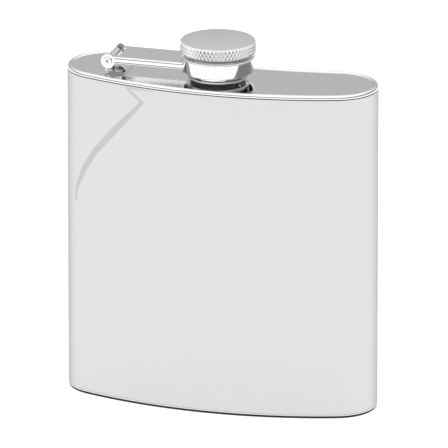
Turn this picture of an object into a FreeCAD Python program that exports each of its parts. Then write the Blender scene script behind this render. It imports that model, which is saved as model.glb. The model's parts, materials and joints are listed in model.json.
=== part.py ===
"""Hip flask with a captive screw cap on a hinged arm.

Millimetres, +Z up, +X along the width, +Y towards the hollow back.
The origin is on the resting plane, at the centre of the plan outline.
"""

import FreeCAD, Part
import math
import os
import Sketcher

SIZES = [
    # alias, value, what it is
    ("width", "92", "overall width of the body"),
    ("depth", "30.27", "overall depth of the bowed body"),
    ("end_radius", "12.3", "radius of the two rounded ends"),
    ("front_radius", "115.35", "radius of the bowed front"),
    ("back_radius", "162.9", "radius of the hollow back"),
    ("wall", "0.6", "sheet thickness of the body tube"),
    ("base_thick", "1.1", "thickness of the bottom plate at its rim"),
    ("base_recess", "0.5", "depth of the hollow under the bottom plate"),
    ("base_rim", "2.4", "width of the resting rim"),
    ("base_round", "0.5", "rounding of the bottom edge"),
    ("seam_z", "96", "height of the joint between tube and top plate"),
    ("rim_z", "97.1", "height of the top plate's raised rim"),
    ("top_z", "96.8", "height of the top plate's panel"),
    ("top_rim", "1.7", "width of the top plate's raised rim"),
    ("rim_round", "0.8", "rounding of the top plate's outer edge"),
    ("neck_y", "-1.65", "neck axis, from front to back"),
    ("neck_bore", "5.4", "radius of the pouring mouth"),
    ("neck_root", "6.15", "radius of the neck between its threads"),
    ("neck_crest", "6.6", "radius over the neck's thread"),
    ("neck_foot", "7.3", "radius of the flared neck foot"),
    ("neck_foot_z", "97.6", "height where the foot's flare ends"),
    ("neck_low_z", "95.4", "height of the neck's lower end"),
    ("neck_top_z", "102.2", "height of the pouring lip"),
    ("thread_lead", "1.5", "thread lead for one turn"),
    ("thread_low_z", "98.4", "height where the thread starts"),
    ("thread_run", "2.6", "height that the thread climbs"),
    ("thread_base", "0.9", "width of the thread ridge at its foot"),
    ("thread_tip", "0.3", "width of the thread ridge at its crest"),
    ("thread_sink", "0.1", "how far the thread ridge is rooted in the wall"),
    ("hinge_x", "-31.2", "hinge axis, across the width"),
    ("hinge_z", "100.9", "hinge axis height"),
    ("pin_radius", "0.7", "radius of the hinge rivet"),
    ("pin_clearance", "0.05", "radial clearance of the rivet in the ears"),
    ("pin_head", "1.35", "radius of the rivet heads"),
    ("pin_head_thick", "0.35", "thickness of the rivet heads"),
    ("pin_head_gap", "0.1", "play between the ears and the rivet heads"),
    ("pin_hollow", "0.45", "radius of the rivet's hollow end"),
    ("pin_hollow_deep", "2.5", "depth of the rivet's hollow end"),
    ("curl_radius", "1.4", "outer radius of the curled knuckle"),
    ("curl_width", "6.4", "width of the bracket's curled knuckle and upright"),
    ("bracket_thick", "0.7", "sheet thickness of the bracket"),
    ("foot_length", "5.9", "length of the bracket's foot"),
    ("foot_width", "8.6", "width of the bracket's foot"),
    ("arm_width", "11.7", "width of the arm over its sides"),
    ("arm_sheet", "0.6", "sheet thickness of the arm"),
    ("arm_top_z", "102.3", "height of the arm's flat top"),
    ("arm_low_z", "100.5", "height of the arm's side edges"),
    ("arm_end", "-8", "where the arm reaches before the ring is cut out"),
    ("arm_round", "0.45", "rounding of the arm's long edges"),
    ("ear_radius", "2.05", "radius of the arm's hinge ears"),
    ("notch_x", "2.7", "from the hinge axis to the edge of the arm's top"),
    ("notch_width", "7.6", "width of the notch round the knuckle"),
    ("arm_back", "0.6", "how far the arm's top reaches past the hinge axis"),
    ("ring_outer", "10.6", "outer radius of the retaining ring"),
    ("ring_wall", "0.6", "sheet thickness of the retaining ring"),
    ("ring_hole", "8.6", "radius of the hole in the retaining ring"),
    ("ring_low_z", "99.6", "height of the retaining ring's lower edge"),
    ("ring_top_z", "104", "height of the retaining ring's top"),
    ("ring_round", "0.4", "rounding of the retaining ring's top edge"),
    ("skirt_outer", "8.45", "outer radius of the cap's skirt"),
    ("skirt_inner", "8", "inner radius of the cap's skirt"),
    ("skirt_low_z", "97.7", "height of the skirt's lower edge"),
    ("skirt_top_z", "105.2", "height of the skirt's closed top"),
    ("skirt_roof", "0.45", "thickness of the skirt's closed top"),
    ("bead_outer", "8.95", "radius over the skirt's rolled bead"),
    ("bead_tall", "0.7", "height of the skirt's rolled bead"),
    ("bead_round", "0.25", "rounding of the skirt's rolled bead"),
    ("liner_root", "7.4", "radius of the liner's bore between its threads"),
    ("liner_crest", "7", "radius inside the liner's thread"),
    ("liner_low_z", "98.2", "height of the liner's lower edge"),
    ("liner_groove", "7.25", "radius of the groove that holds the seal"),
    ("groove_low_z", "102.1", "height of the seal groove's lower edge"),
    ("groove_lip", "0.3", "height of the lip that holds the seal"),
    ("groove_slope", "0.2", "height of the slope under that lip"),
    ("seal_radius", "7.15", "radius of the seal disc"),
    ("seal_thick", "0.95", "thickness of the seal disc"),
    ("seal_gap", "0.05", "play between the seal disc and the liner"),
    ("knob_radius", "10.8", "outer radius of the knurled knob"),
    ("knob_wall", "0.6", "sheet thickness of the knob"),
    ("knob_low_z", "105.2", "height of the knob's lower edge"),
    ("knob_top_z", "108.6", "height of the knob's flat top"),
    ("knob_round", "0.45", "rounding of the knob's top edge"),
]

TOLERANCE = 1e-3

doc = FreeCAD.newDocument("hip_flask")
sheet = doc.addObject("Spreadsheet::Sheet", "Sizes")
for row, (alias, value, note) in enumerate(SIZES, start=1):
    sheet.set(f"A{row}", note)
    sheet.set(f"B{row}", value)
    sheet.setAlias(f"B{row}", alias)
doc.recompute()


def size(expression):
    """The number that an expression over the sheet's aliases gives."""
    return float(sheet.evalExpression(bound(expression)))


def bound(expression):
    """The expression with each bare alias read from the sheet."""
    words = expression.replace("(", "( ").replace(")", " )").split()
    aliases = {alias for alias, _, _ in SIZES}
    return " ".join(f"Sizes.{word}" if word in aliases else word for word in words)


def new_body(label, x="0", y="0", z="0"):
    """An empty body named for its sub-part, placed by expressions."""
    body = doc.addObject("PartDesign::Body", label)
    body.Label = label
    for letter, expression in zip("xyz", (x, y, z)):
        body.setExpression(f"Placement.Base.{letter}", bound(expression))
    return body


def new_sketch(body, name, role="XZ_Plane", lift="0"):
    """A sketch on one of the body's own origin planes, lifted along its normal."""
    sketch = body.newObject("Sketcher::SketchObject", f"{body.Label}_{name}")
    origin_plane = next(f for f in body.Origin.OriginFeatures if f.Role == role)
    sketch.AttachmentSupport = [(origin_plane, "")]
    sketch.MapMode = "FlatFace"
    sketch.setExpression("AttachmentOffset.Base.z", bound(lift))
    return sketch


def drive(sketch, kind, *where, to):
    """A dimension of the sketch, bound to an expression."""
    index = sketch.addConstraint(Sketcher.Constraint(kind, *where, size(to)))
    sketch.setExpression(f"Constraints[{index}]", bound(to))


def draw_polygon(sketch, corners):
    """A closed polygon whose corners are pairs of expressions."""
    points = [FreeCAD.Vector(size(x), size(y), 0) for x, y in corners]
    first = sketch.GeometryCount
    for start, end in zip(points, points[1:] + points[:1]):
        sketch.addGeometry(Part.LineSegment(start, end), False)
    for step, (x, y) in enumerate(corners):
        line = first + step
        following = first + (step + 1) % len(corners)
        sketch.addConstraint(Sketcher.Constraint("Coincident", line, 2, following, 1))
        drive(sketch, "DistanceX", line, 1, to=x)
        drive(sketch, "DistanceY", line, 1, to=y)


def draw_box(sketch, low_x, high_x, low_y, high_y):
    """A closed rectangle between two pairs of expressions."""
    draw_polygon(sketch, [(low_x, low_y), (high_x, low_y), (high_x, high_y), (low_x, high_y)])


def draw_circle(sketch, radius, x="0", y="0"):
    """A circle whose radius and centre are expressions."""
    centre = FreeCAD.Vector(size(x), size(y), 0)
    circle = sketch.addGeometry(Part.Circle(centre, FreeCAD.Vector(0, 0, 1), size(radius)), False)
    drive(sketch, "Radius", circle, to=radius)
    drive(sketch, "DistanceX", circle, 3, to=x)
    drive(sketch, "DistanceY", circle, 3, to=y)


def draw_bow(sketch, inset="0"):
    """The bowed plan outline: four tangent arcs, moved inwards by an inset.

    The front bows out, the back is hollow, and round ends join them. All
    four arcs keep their centres, so an inset changes only their radii.
    """
    end_radius = f"end_radius - ( {inset} )"
    front_radius = f"front_radius - ( {inset} )"
    back_radius = f"back_radius + ( {inset} )"
    end_x = "width / 2 - end_radius"
    end_y = "depth / 2 - end_radius"
    across, along = size(end_x), size(end_y)
    front_reach = math.sqrt(size("front_radius - end_radius") ** 2 - across ** 2)
    back_reach = math.sqrt(size("back_radius + end_radius") ** 2 - across ** 2)
    front_angle = math.atan2(-front_reach, across)
    back_angle = math.atan2(back_reach, -across)
    half_turn = math.pi

    def arc(x, y, radius, start, end):
        circle = Part.Circle(FreeCAD.Vector(x, y, 0), FreeCAD.Vector(0, 0, 1), size(radius))
        return sketch.addGeometry(Part.ArcOfCircle(circle, start, end), False)

    front = arc(0, along + front_reach, front_radius, -half_turn - front_angle, front_angle)
    right = arc(across, along, end_radius, front_angle, back_angle)
    back = arc(0, along + back_reach, back_radius, -back_angle, back_angle - half_turn)
    left = arc(-across, along, end_radius, half_turn - back_angle, half_turn - front_angle)
    for one, one_end, other, other_end in [
        (front, 2, right, 1),
        (right, 2, back, 2),
        (back, 1, left, 1),
        (left, 2, front, 1),
    ]:
        sketch.addConstraint(Sketcher.Constraint("Tangent", one, one_end, other, other_end))
    drive(sketch, "Radius", front, to=front_radius)
    drive(sketch, "Radius", right, to=end_radius)
    drive(sketch, "Radius", back, to=back_radius)
    drive(sketch, "Radius", left, to=end_radius)
    drive(sketch, "DistanceX", right, 3, to=end_x)
    drive(sketch, "DistanceY", right, 3, to=end_y)
    drive(sketch, "DistanceX", left, 3, to=f"0 - ( {end_x} )")
    drive(sketch, "DistanceY", left, 3, to=end_y)


def pad(body, sketch, length, both_ways=False):
    """A pad of the sketch, one way or evenly to both sides."""
    feature = body.newObject("PartDesign::Pad", f"{sketch.Name}_pad")
    feature.Profile = sketch
    feature.setExpression("Length", bound(length))
    feature.Midplane = both_ways
    doc.recompute()
    return feature


def pocket(body, sketch, length, both_ways=False, reverse=False):
    """A pocket of the sketch, which has to take material away."""
    before = body.Shape.Volume
    feature = body.newObject("PartDesign::Pocket", f"{sketch.Name}_pocket")
    feature.Profile = sketch
    feature.setExpression("Length", bound(length))
    feature.Midplane = both_ways
    feature.Reversed = reverse
    doc.recompute()
    if body.Shape.Volume > before - TOLERANCE:
        raise RuntimeError(f"{feature.Label} cuts nothing")
    return feature


def revolve(body, sketch):
    """A full turn of the sketch about its own upright axis."""
    feature = body.newObject("PartDesign::Revolution", f"{sketch.Name}_turn")
    feature.Profile = sketch
    feature.ReferenceAxis = (sketch, ["V_Axis"])
    feature.Angle = 360
    doc.recompute()
    return feature


def turned(label, corners):
    """A body turned about the neck axis from corners of (radius, height)."""
    body = new_body(label, y="neck_y")
    sketch = new_sketch(body, "section")
    draw_polygon(sketch, corners)
    revolve(body, sketch)
    return body


def add_thread(body, root, crest):
    """A ridge that climbs the body along a helix, from a root to a crest radius."""
    before = body.Shape.Volume
    sink = "thread_sink" if size(crest) > size(root) else "( 0 - thread_sink )"
    sketch = new_sketch(body, "thread")
    slope = "( thread_base - thread_tip ) / 2"
    draw_polygon(sketch, [
        (f"{root} - {sink}", "thread_low_z"),
        (crest, f"thread_low_z + {slope}"),
        (crest, f"thread_low_z + {slope} + thread_tip"),
        (f"{root} - {sink}", "thread_low_z + thread_base"),
    ])
    feature = body.newObject("PartDesign::AdditiveHelix", f"{body.Label}_helix")
    feature.Profile = sketch
    feature.ReferenceAxis = (sketch, ["V_Axis"])
    feature.setExpression("Pitch", bound("thread_lead"))
    feature.setExpression("Height", bound("thread_run"))
    doc.recompute()
    if body.Shape.Volume < before + TOLERANCE:
        raise RuntimeError(f"{feature.Label} adds nothing")


def round_edges(body, name, radius, wanted):
    """A fillet on the edges of the body's tip that a test picks out."""
    tip = body.Tip
    names = [f"Edge{i}" for i, edge in enumerate(tip.Shape.Edges, start=1) if wanted(edge)]
    if not names:
        raise RuntimeError(f"{body.Label} has no edge for {name}")
    feature = body.newObject("PartDesign::Fillet", f"{body.Label}_{name}")
    feature.Base = (tip, names)
    feature.setExpression("Radius", bound(radius))
    doc.recompute()


def is_flat_at(edge, height):
    """Whether an edge lies in a level plane at this height."""
    box = edge.BoundBox
    return abs(box.ZMin - height) < TOLERANCE and abs(box.ZMax - height) < TOLERANCE


def is_circle(edge, radius, height):
    """Whether an edge is a level circle of this radius at this height."""
    has_radius = hasattr(edge.Curve, "Radius") and abs(edge.Curve.Radius - radius) < TOLERANCE
    return has_radius and is_flat_at(edge, height)


def make_body_shell():
    """The bowed tube, open at both ends."""
    body = new_body("body_shell", z="base_thick")
    plan = new_sketch(body, "plan", "XY_Plane")
    draw_bow(plan)
    draw_bow(plan, "wall")
    pad(body, plan, "seam_z - base_thick")
    return body


def make_top_plate():
    """The polished top: a rounded rim round a shallow panel, with the neck's hole."""
    body = new_body("top_plate", z="seam_z")
    plan = new_sketch(body, "plan", "XY_Plane")
    draw_bow(plan)
    pad(body, plan, "rim_z - seam_z")
    rim_height = size("rim_z - seam_z")
    round_edges(body, "rim", "rim_round", lambda edge: is_flat_at(edge, rim_height))
    panel = new_sketch(body, "panel", "XY_Plane", "rim_z - seam_z")
    draw_bow(panel, "top_rim")
    pocket(body, panel, "rim_z - top_z")
    hole = new_sketch(body, "hole", "XY_Plane", "rim_z - seam_z")
    draw_circle(hole, "neck_root", y="neck_y")
    pocket(body, hole, "rim_z - seam_z")
    return body


def make_bottom_plate():
    """The bottom: a flat resting rim round a shallow hollow."""
    body = new_body("bottom_plate")
    plan = new_sketch(body, "plan", "XY_Plane")
    draw_bow(plan)
    pad(body, plan, "base_thick")
    round_edges(body, "edge", "base_round", lambda edge: is_flat_at(edge, 0))
    hollow = new_sketch(body, "hollow", "XY_Plane")
    draw_bow(hollow, "base_rim")
    pocket(body, hollow, "base_recess", reverse=True)
    return body


def make_neck_spout():
    """The threaded neck, flared where it meets the top plate."""
    body = turned("neck_spout", [
        ("neck_bore", "neck_low_z"),
        ("neck_root", "neck_low_z"),
        ("neck_root", "top_z"),
        ("neck_foot", "top_z"),
        ("neck_root", "neck_foot_z"),
        ("neck_root", "neck_top_z"),
        ("neck_bore", "neck_top_z"),
    ])
    add_thread(body, "neck_root", "neck_crest")
    return body


def make_hinge_bracket():
    """The strip bracket: a foot, an upright and a curl round the rivet."""
    body = new_body("hinge_bracket", "hinge_x", "neck_y", "hinge_z")
    curl = new_sketch(body, "curl")
    draw_circle(curl, "curl_radius")
    pad(body, curl, "curl_width", both_ways=True)
    upright = new_sketch(body, "upright")
    draw_box(upright, "0 - curl_radius", "bracket_thick - curl_radius", "top_z - hinge_z", "0")
    pad(body, upright, "curl_width", both_ways=True)
    foot = new_sketch(body, "foot")
    draw_box(foot, "0 - curl_radius", "foot_length - curl_radius",
             "top_z - hinge_z", "top_z - hinge_z + bracket_thick")
    pad(body, foot, "foot_width", both_ways=True)
    bore = new_sketch(body, "bore")
    draw_circle(bore, "pin_radius")
    pocket(body, bore, "2 * curl_width", both_ways=True)
    return body


def make_hinge_pin():
    """The rivet, with a head at each end and a hollow in the front one."""
    body = new_body("hinge_pin", "hinge_x", "neck_y", "hinge_z")
    section = new_sketch(body, "section", "XY_Plane")
    end = "( arm_width / 2 + pin_head_gap + pin_head_thick )"
    draw_polygon(section, [
        ("0", f"pin_hollow_deep - {end}"),
        ("pin_hollow", f"pin_hollow_deep - {end}"),
        ("pin_hollow", f"0 - {end}"),
        ("pin_head", f"0 - {end}"),
        ("pin_head", f"pin_head_thick - {end}"),
        ("pin_radius", f"pin_head_thick - {end}"),
        ("pin_radius", f"{end} - pin_head_thick"),
        ("pin_head", f"{end} - pin_head_thick"),
        ("pin_head", end),
        ("0", end),
    ])
    revolve(body, section)
    return body


def make_cap_arm():
    """The folded arm: a flat top, two sides and two round ears."""
    body = new_body("cap_arm", "hinge_x", "neck_y", "hinge_z")
    inner_width = "arm_width - 2 * arm_sheet"
    strap = new_sketch(body, "strap")
    draw_box(strap, "0 - arm_back", "arm_end - hinge_x",
             "arm_low_z - hinge_z", "arm_top_z - hinge_z")
    pad(body, strap, "arm_width", both_ways=True)
    top_z = size("arm_top_z - hinge_z")
    half_width = size("arm_width / 2")

    def is_long_corner(edge):
        runs_along = is_flat_at(edge, top_z) and edge.BoundBox.XLength > half_width
        return runs_along and abs(abs(edge.CenterOfMass.y) - half_width) < TOLERANCE

    round_edges(body, "corners", "arm_round", is_long_corner)
    channel = new_sketch(body, "channel")
    draw_box(channel, "0 - 2 * ear_radius", "0 - hinge_x", "0 - 2 * ear_radius",
             "arm_top_z - arm_sheet - hinge_z")
    pocket(body, channel, inner_width, both_ways=True)
    notch = new_sketch(body, "notch")
    draw_box(notch, "0 - 2 * ear_radius", "notch_x", "0", "2 * ear_radius")
    pocket(body, notch, "notch_width", both_ways=True)
    sides = {"front_ear": "arm_width / 2 - arm_sheet", "back_ear": "0 - arm_width / 2"}
    for name, lift in sides.items():
        ear = new_sketch(body, name, lift=lift)
        draw_circle(ear, "ear_radius")
        pad(body, ear, "arm_sheet")
    cope = new_sketch(body, "cope", "XY_Plane")
    draw_circle(cope, "ring_outer", x="0 - hinge_x")
    pocket(body, cope, "4 * ear_radius", both_ways=True)
    bore = new_sketch(body, "bore")
    draw_circle(bore, "pin_radius + pin_clearance")
    pocket(body, bore, "2 * arm_width", both_ways=True)
    return body


def make_cap_collar():
    """The ring that keeps the cap on its arm, with a lip turned in at the top."""
    body = turned("cap_collar", [
        ("ring_outer - ring_wall", "ring_low_z"),
        ("ring_outer", "ring_low_z"),
        ("ring_outer", "ring_top_z"),
        ("ring_hole", "ring_top_z"),
        ("ring_hole", "ring_top_z - ring_wall"),
        ("ring_outer - ring_wall", "ring_top_z - ring_wall"),
    ])
    outer, top_z = size("ring_outer"), size("ring_top_z")
    round_edges(body, "shoulder", "ring_round", lambda edge: is_circle(edge, outer, top_z))
    return body


def make_cap_skirt():
    """The plated skirt of the cap, closed at the top and beaded at its lower edge."""
    body = turned("cap_skirt", [
        ("skirt_inner", "skirt_low_z"),
        ("bead_outer", "skirt_low_z"),
        ("bead_outer", "skirt_low_z + bead_tall"),
        ("skirt_outer", "skirt_low_z + bead_tall"),
        ("skirt_outer", "skirt_top_z"),
        ("0", "skirt_top_z"),
        ("0", "skirt_top_z - skirt_roof"),
        ("skirt_inner", "skirt_top_z - skirt_roof"),
    ])
    outer = size("bead_outer")
    heights = (size("skirt_low_z"), size("skirt_low_z + bead_tall"))
    round_edges(body, "bead", "bead_round",
                lambda edge: any(is_circle(edge, outer, height) for height in heights))
    return body


def make_thread_liner():
    """The moulded liner in the skirt, with the cap's thread and the seal's groove."""
    body = turned("thread_liner", [
        ("liner_root", "liner_low_z"),
        ("skirt_inner", "liner_low_z"),
        ("skirt_inner", "skirt_top_z - skirt_roof"),
        ("0", "skirt_top_z - skirt_roof"),
        ("0", "neck_top_z + seal_thick + seal_gap"),
        ("liner_groove", "neck_top_z + seal_thick + seal_gap"),
        ("liner_groove", "groove_low_z"),
        ("liner_crest", "groove_low_z"),
        ("liner_crest", "groove_low_z - groove_lip"),
        ("liner_root", "groove_low_z - groove_lip - groove_slope"),
    ])
    add_thread(body, "liner_root", "liner_crest")
    return body


def make_seal_washer():
    """The soft disc that the neck's lip presses against."""
    body = new_body("seal_washer", y="neck_y", z="neck_top_z")
    plan = new_sketch(body, "plan", "XY_Plane")
    draw_circle(plan, "seal_radius")
    pad(body, plan, "seal_thick")
    return body


def make_knob_shell():
    """The plated cover of the knob, a shallow cup turned upside down."""
    body = turned("knob_shell", [
        ("knob_radius - knob_wall", "knob_low_z"),
        ("knob_radius", "knob_low_z"),
        ("knob_radius", "knob_top_z"),
        ("0", "knob_top_z"),
        ("0", "knob_top_z - knob_wall"),
        ("knob_radius - knob_wall", "knob_top_z - knob_wall"),
    ])
    outer, top_z = size("knob_radius"), size("knob_top_z")
    round_edges(body, "crown", "knob_round", lambda edge: is_circle(edge, outer, top_z))
    return body


def make_knob_core():
    """The disc that fills the knob and carries the skirt."""
    body = new_body("knob_core", y="neck_y", z="knob_low_z")
    plan = new_sketch(body, "plan", "XY_Plane")
    draw_circle(plan, "knob_radius - knob_wall")
    pad(body, plan, "knob_top_z - knob_wall - knob_low_z")
    return body


PARTS = [
    make_body_shell(),
    make_top_plate(),
    make_bottom_plate(),
    make_neck_spout(),
    make_hinge_bracket(),
    make_hinge_pin(),
    make_cap_arm(),
    make_cap_collar(),
    make_cap_skirt(),
    make_thread_liner(),
    make_seal_washer(),
    make_knob_shell(),
    make_knob_core(),
]
doc.recompute()

for item in doc.Objects:
    if "Invalid" in item.State or "Error" in item.State:
        raise RuntimeError(f"{item.Label} failed: {item.State}")
for part in PARTS:
    if part.Shape.isNull() or not part.Shape.isValid() or len(part.Shape.Solids) != 1:
        raise RuntimeError(f"{part.Label} has no single valid solid")

os.makedirs("parts", exist_ok=True)
for part in PARTS:
    part.Shape.exportStep(f"parts/{part.Label}.step")
    box = part.Shape.BoundBox
    print(f"{part.Label:14s} {part.Shape.Volume:10.2f} mm3  "
          f"x {box.XMin:.2f} {box.XMax:.2f}  y {box.YMin:.2f} {box.YMax:.2f}  "
          f"z {box.ZMin:.2f} {box.ZMax:.2f}")
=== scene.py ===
"""A bowed steel hip flask with a captive screw cap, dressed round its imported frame."""

import json
import math

import bpy
from bpy.props import FloatProperty, FloatVectorProperty, IntProperty, PointerProperty
from bpy.types import Operator, Panel, PropertyGroup
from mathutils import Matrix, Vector


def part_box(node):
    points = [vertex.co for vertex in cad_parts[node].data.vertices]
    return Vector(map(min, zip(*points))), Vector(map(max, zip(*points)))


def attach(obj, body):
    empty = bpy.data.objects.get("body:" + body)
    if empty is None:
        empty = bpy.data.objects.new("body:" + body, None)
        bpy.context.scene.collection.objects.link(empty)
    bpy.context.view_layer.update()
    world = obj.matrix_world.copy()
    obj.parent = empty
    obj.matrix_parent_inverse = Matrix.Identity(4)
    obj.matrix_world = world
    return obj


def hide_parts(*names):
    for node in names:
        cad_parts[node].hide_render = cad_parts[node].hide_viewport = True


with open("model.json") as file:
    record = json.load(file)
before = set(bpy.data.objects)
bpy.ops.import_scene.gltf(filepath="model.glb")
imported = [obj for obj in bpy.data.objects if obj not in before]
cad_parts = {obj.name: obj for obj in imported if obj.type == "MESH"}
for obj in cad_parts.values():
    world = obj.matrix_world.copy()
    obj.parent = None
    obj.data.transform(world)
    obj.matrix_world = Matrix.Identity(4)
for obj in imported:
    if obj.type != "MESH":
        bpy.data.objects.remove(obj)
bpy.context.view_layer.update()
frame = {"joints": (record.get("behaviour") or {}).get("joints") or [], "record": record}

bl_info = {
    "name": "Hip flask",
    "version": (1, 0, 0),
    "blender": (4, 5, 0),
    "location": "3D View > Sidebar > Flask",
    "description": "Models a bowed steel hip flask and its captive screw cap",
    "category": "Object",
}

MM = 0.001
MERGE_DISTANCE = 0.002 * MM
SAME_PLACE = 0.001 * MM
FRONT_STEPS, END_STEPS, BACK_STEPS = 96, 48, 72
THREAD_STEPS = 96
JOINTS = {joint["name"]: joint for joint in frame["joints"]}
HINGE = Vector(JOINTS["arm_swing"]["pos_m"])
NECK = Vector(JOINTS["cap_turn"]["pos_m"])
SHELL_LOW, SHELL_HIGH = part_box("body_shell")
TOP_LOW, TOP_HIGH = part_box("top_plate")
KNOB_LOW, KNOB_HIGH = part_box("knob_shell")
RING_LOW, RING_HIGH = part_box("cap_collar")
SKIRT_LOW, SKIRT_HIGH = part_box("cap_skirt")
ARM_LOW, ARM_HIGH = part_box("cap_arm")
SPOUT_LOW, SPOUT_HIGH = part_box("neck_spout")
LINER_LOW, LINER_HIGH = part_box("thread_liner")
SEAL_LOW, SEAL_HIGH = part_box("seal_washer")
BRACKET_LOW, BRACKET_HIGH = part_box("hinge_bracket")
PIN_LOW, PIN_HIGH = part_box("hinge_pin")


def length(name, default, description):
    """A length property in metres."""
    return FloatProperty(
        name=name, description=description, default=default, min=0, unit="LENGTH", precision=5
    )


def colour(name, default, description):
    """A colour property."""
    return FloatVectorProperty(
        name=name, description=description, default=default, size=3, subtype="COLOR", min=0, max=1
    )


class FlaskBodySizes(PropertyGroup):
    """Sizes of the bowed body and its two plates."""

    half_width: length("Half width", SHELL_HIGH.x, "Half of the body's width")
    half_depth: length("Half depth", SHELL_HIGH.y, "Half of the body's depth")
    end_radius: length("End radius", 12.3 * MM, "Radius of the rounded ends")
    front_radius: length("Front radius", 115.35 * MM, "Radius of the bowed front")
    back_radius: length("Back radius", 162.9 * MM, "Radius of the hollow back")
    wall: length("Wall", 0.6 * MM, "Sheet thickness of the tube")
    seam: length("Seam", 0.06 * MM, "Rounding of the sheet edges at the seams")
    top_gap: length("Top gap", 0.24 * MM, "Gap between the tube and the top plate")
    base_gap: length("Base gap", 0.05 * MM, "Gap between the tube and the bottom plate")
    shoulder: length("Shoulder", 0.85 * MM, "Rounding of the top plate's edge")
    crest: length("Crest", 0.25 * MM, "Flat width on top of the top plate's rim")
    dish_slope: length("Dish slope", 0.6 * MM, "Width of the slope into the top panel")
    dish: length("Dish", 0.3 * MM, "Depth of the top panel below its rim")
    base_round: length("Base rounding", 0.5 * MM, "Rounding of the bottom edge")
    base_rim: length("Base rim", 1.3 * MM, "Flat width of the resting rim")
    # Painted shadow: the top of the near-black band painted on the bottom plate's lower edge.
    painted_shadow_height: length("Base shade", 0.85 * MM, "Height under which the base is nearly black")
    base_slope: length("Base slope", 0.6 * MM, "Width of the slope under the base")
    base_hollow: length("Base hollow", 0.5 * MM, "Depth of the hollow under the base")


class FlaskCapSizes(PropertyGroup):
    """Sizes of the neck, the arm, the ring and the cap."""

    sheet: length("Sheet", 0.6 * MM, "Sheet thickness of the arm and the ring")
    ear_radius: length("Ear radius", HINGE.x - ARM_LOW.x, "Radius of the hinge ears")
    notch: length("Notch", 2.7 * MM, "From the hinge axis to the edge of the arm's top")
    notch_half: length("Half notch", 3.8 * MM, "Half of the notch's width")
    arm_back: length("Arm back", 0.6 * MM, "How far the arm's top reaches past the axis")
    curl_half: length("Half curl", 3.2 * MM, "Half of the width of the bracket's curl")
    pin_radius: length("Rivet radius", 0.7 * MM, "Radius of the hinge rivet")
    pin_hollow: length("Rivet hollow", 0.45 * MM, "Radius of the rivet's hollow end")
    flange: length("Arm side", 1.8 * MM, "Height of the arm's sides")
    bend: length("Bend", 0.45 * MM, "Rounding of the arm's long edges")
    press_line: length("Pressed line", 0.3 * MM, "Width of the lines along the arm's sides")
    ring_radius: length("Ring radius", 10.6 * MM, "Outer radius of the retaining ring")
    ring_hole: length("Ring hole", 8.6 * MM, "Radius of the hole in the ring's lip")
    skirt_radius: length("Skirt radius", 8.45 * MM, "Outer radius of the skirt")
    skirt_bore: length("Skirt bore", 8 * MM, "Inner radius of the skirt")
    bead_radius: length("Bead radius", 8.95 * MM, "Radius over the rolled bead")
    knob_radius: length("Knob radius", 10.8 * MM, "Radius over the knurl's crests")
    knob_wall: length("Knob wall", 0.6 * MM, "Sheet thickness of the knob's cover")
    knob_round: length("Knob rounding", 0.4 * MM, "Rounding of the knob's top edge")
    knob_dome: length("Knob dome", 0.2 * MM, "Rise of the knob's top to its middle")
    knurl_depth: length("Knurl depth", 0.38 * MM, "Depth of the knurl's grooves")
    knurl_flat: length("Knurl flat", 0.14 * MM, "Height cut off the knurl's points")
    knurl_tall: length("Knurl height", 2.8 * MM, "Height of the knurled band")
    knurl_columns: IntProperty(
        name="Knurl columns", description="Diamonds round the knob", default=60, min=8, max=90
    )
    neck_root: length("Neck root", 6.15 * MM, "Radius of the neck between its threads")
    neck_bore: length("Neck bore", 5.4 * MM, "Radius of the pouring mouth")
    neck_foot: length("Neck foot", 7.3 * MM, "Radius of the neck's flared foot")
    thread_lead: length("Thread lead", 1.5 * MM, "Climb of the thread in one turn")


class FlaskFinishes(PropertyGroup):
    """Colours of the flask's finishes."""

    body: colour("Brushed body", (0.635, 0.635, 0.635), "Brushed steel of the tube")
    plate: colour("Polished plate", (0.83, 0.83, 0.835), "Polished steel of the plates")
    trim: colour("Bright trim", (0.86, 0.86, 0.865), "Plated steel of the arm, ring and skirt")
    knob: colour("Knob", (0.82, 0.82, 0.825), "Satin top of the knob")
    # Painted shadow: the near-black colour on the bottom plate's lower edge stands in for its
    # contact shadow and dark reflection.
    base: colour("Base", (0.03, 0.03, 0.03), "Dark lower edge of the bottom plate")
    liner: colour("Liner", (0.80, 0.80, 0.78), "Moulded liner of the cap")
    seal: colour("Seal", (0.045, 0.045, 0.05), "Soft seal in the cap")
    floor: colour("Floor", (0.25, 0.25, 0.25), "Light table under the flask")


def body_sizes():
    """The body's sizes as the scene holds them."""
    return bpy.context.scene.flask_body_sizes


def cap_sizes():
    """The cap's sizes as the scene holds them."""
    return bpy.context.scene.flask_cap_sizes


def finishes():
    """The colours as the scene holds them."""
    return bpy.context.scene.flask_finishes


# ---------------------------------------------------------------- modelling


def object_mode():
    """Leaves edit mode."""
    bpy.ops.object.mode_set(mode="OBJECT")


def edit_mode(select_type="VERT"):
    """Enters edit mode with one kind of element selectable."""
    bpy.ops.object.mode_set(mode="EDIT")
    bpy.ops.mesh.select_mode(type=select_type)


def name_new(name):
    """Names the object that was just added."""
    piece = bpy.context.object
    piece.name = name
    piece.data.name = name
    return piece


def activate(piece):
    """Makes a piece the active object and the only selected one."""
    bpy.ops.object.select_all(action="DESELECT")
    piece.select_set(True)
    bpy.context.view_layer.objects.active = piece


def place_in_mesh(piece):
    """Moves the piece's place into its mesh, with the object at the origin."""
    activate(piece)
    bpy.ops.object.transform_apply(location=True, rotation=True, scale=True)


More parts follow.
